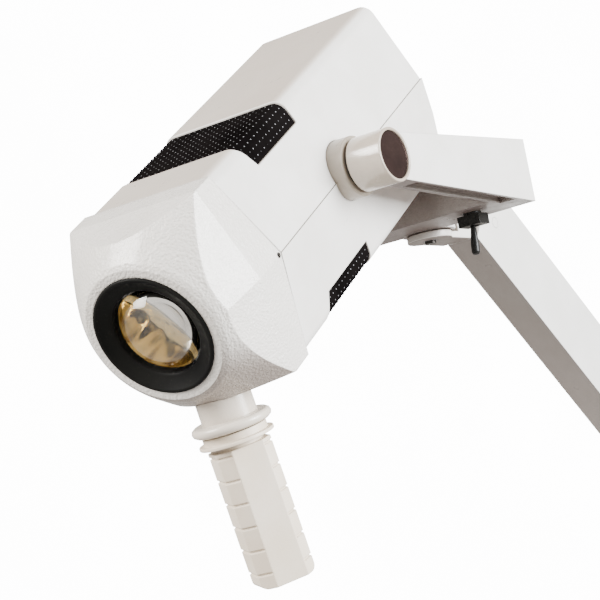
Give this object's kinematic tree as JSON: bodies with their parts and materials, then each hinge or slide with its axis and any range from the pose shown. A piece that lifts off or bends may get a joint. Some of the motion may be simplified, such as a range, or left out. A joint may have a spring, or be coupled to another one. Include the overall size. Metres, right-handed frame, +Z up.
{
  "type": "examination lamp",
  "caption": "Ward examination lamp: square vented head with a domed lens and a pull-off grip, tilting in a forked yoke on a spring-balanced arm with a plug-in spigot.",
  "frame": {"origin": "centre of the mounting spigot at its shoulder", "axes": "+Z up along the spigot, +X the way the lamp looks at rest, +Y its left-hand side"},
  "size_m": [0.6748, 0.182, 0.4548],
  "materials": {
    "housing_paint": "satin",
    "bezel_paint": "pebbled",
    "vent_black": "matt, perforated",
    "ring_black": "satin",
    "seal_rubber": "matt",
    "lens_glass": "clear",
    "tube_black": "matt",
    "filter_glass": "clear",
    "reflector_gold": "bright",
    "bulb_glass": "clear",
    "socket_ceramic": "matt",
    "frame_metal": "mill",
    "terminal_plastic": "matt",
    "boss_plastic": "satin",
    "barrel_paint": "gloss",
    "cap_mirror": "polished",
    "steel": "turned",
    "washer_dark": "matt",
    "screw_dark": "blackened",
    "stem_plastic": "satin",
    "grip_plastic": "satin",
    "fork_paint": "painted, satin",
    "cover_plastic": "satin",
    "switch_black": "satin",
    "knuckle_paint": "satin",
    "arm_paint": "satin",
    "spring_steel": "oiled",
    "nylon": "matt"
  },
  "bodies": {
    "foot": {"mounting_spigot": "steel", "thrust_washer": "nylon", "retaining_screw": "steel"},
    "lower_knuckle": {"lower_knuckle": "knuckle_paint", "lower_link_pin": "steel"},
    "arm": {"arm_tube": "arm_paint", "upper_arm_pin": "arm_paint", "lower_arm_pin": "arm_paint", "balance_spring": "spring_steel", "spring_rod": "steel"},
    "link": {"levelling_link": "steel"},
    "knuckle": {"swivel_knuckle": "knuckle_paint", "swivel_spindle": "steel", "spindle_screw": "screw_dark", "upper_link_pin": "steel"},
    "fork": {"yoke_fork": "fork_paint", "left_pivot_barrel": "barrel_paint", "right_pivot_barrel": "barrel_paint", "left_pivot_cap": "cap_mirror", "right_pivot_cap": "cap_mirror", "left_pivot_shaft": "steel", "right_pivot_shaft": "steel", "tilt_washers": "washer_dark", "left_fork_cover": "cover_plastic", "right_fork_cover": "cover_plastic", "cover_screws": "screw_dark", "switch_body": "switch_black", "swivel_washers": "washer_dark"},
    "switch": {"switch_lever": "switch_black"},
    "head": {"upper_housing": "housing_paint", "lower_housing": "housing_paint", "top_vent_grille": "vent_black", "bottom_vent_grille": "vent_black", "nose_bezel": "bezel_paint", "nose_screws": "screw_dark", "lens_ring": "ring_black", "lens_seal": "seal_rubber", "lens": "lens_glass", "lens_tube": "tube_black", "heat_filter": "filter_glass", "reflector": "reflector_gold", "halogen_bulb": "bulb_glass", "bulb_socket": "socket_ceramic", "inner_frame": "frame_metal", "terminal_block": "terminal_plastic", "left_pivot_boss": "boss_plastic", "right_pivot_boss": "boss_plastic", "housing_screws": "steel", "handle_stem": "stem_plastic"},
    "grip": {"handle_grip": "grip_plastic"}
  },
  "joints": [
    {"name": "base_swivel", "type": "hinge", "parent": "foot", "child": "lower_knuckle", "pos_m": [0, 0, 0], "axis": [0, 0, 1], "range_deg": [-170, 170]},
    {"name": "arm_lift", "type": "hinge", "parent": "lower_knuckle", "child": "arm", "pos_m": [0, 0, 0.084], "axis": [0, -1, 0], "range_deg": [-70, 5]},
    {"name": "link_swing", "type": "hinge", "parent": "lower_knuckle", "child": "link", "pos_m": [0, 0, 0.1], "axis": [0, -1, 0], "range_deg": [-70, 5]},
    {"name": "arm_level", "type": "hinge", "parent": "arm", "child": "knuckle", "pos_m": [0.22981, 0, 0.27684], "axis": [0, -1, 0], "range_deg": [-5, 70]},
    {"name": "fork_swivel", "type": "hinge", "parent": "knuckle", "child": "fork", "pos_m": [0.30561, 0, 0.29114], "axis": [0, 0, 1], "range_deg": [-60, 60]},
    {"name": "head_tilt", "type": "hinge", "parent": "fork", "child": "head", "pos_m": [0.48261, 0, 0.29114], "axis": [0, 1, 0], "range_deg": [-40, 70]},
    {"name": "grip_pull", "type": "slide", "parent": "head", "child": "grip", "axis": [-0.2504, 0, -0.9681], "range_m": [0, 0.06]},
    {"name": "switch_flick", "type": "hinge", "parent": "fork", "child": "switch", "pos_m": [0.33261, 0.051, 0.26564], "axis": [0, 1, 0], "range_deg": [0, 20]}
  ],
  "couplings": [
    {"joint": "link_swing", "follows": "arm_lift", "ratio": 1},
    {"joint": "arm_level", "follows": "arm_lift", "ratio": -1}
  ]
}
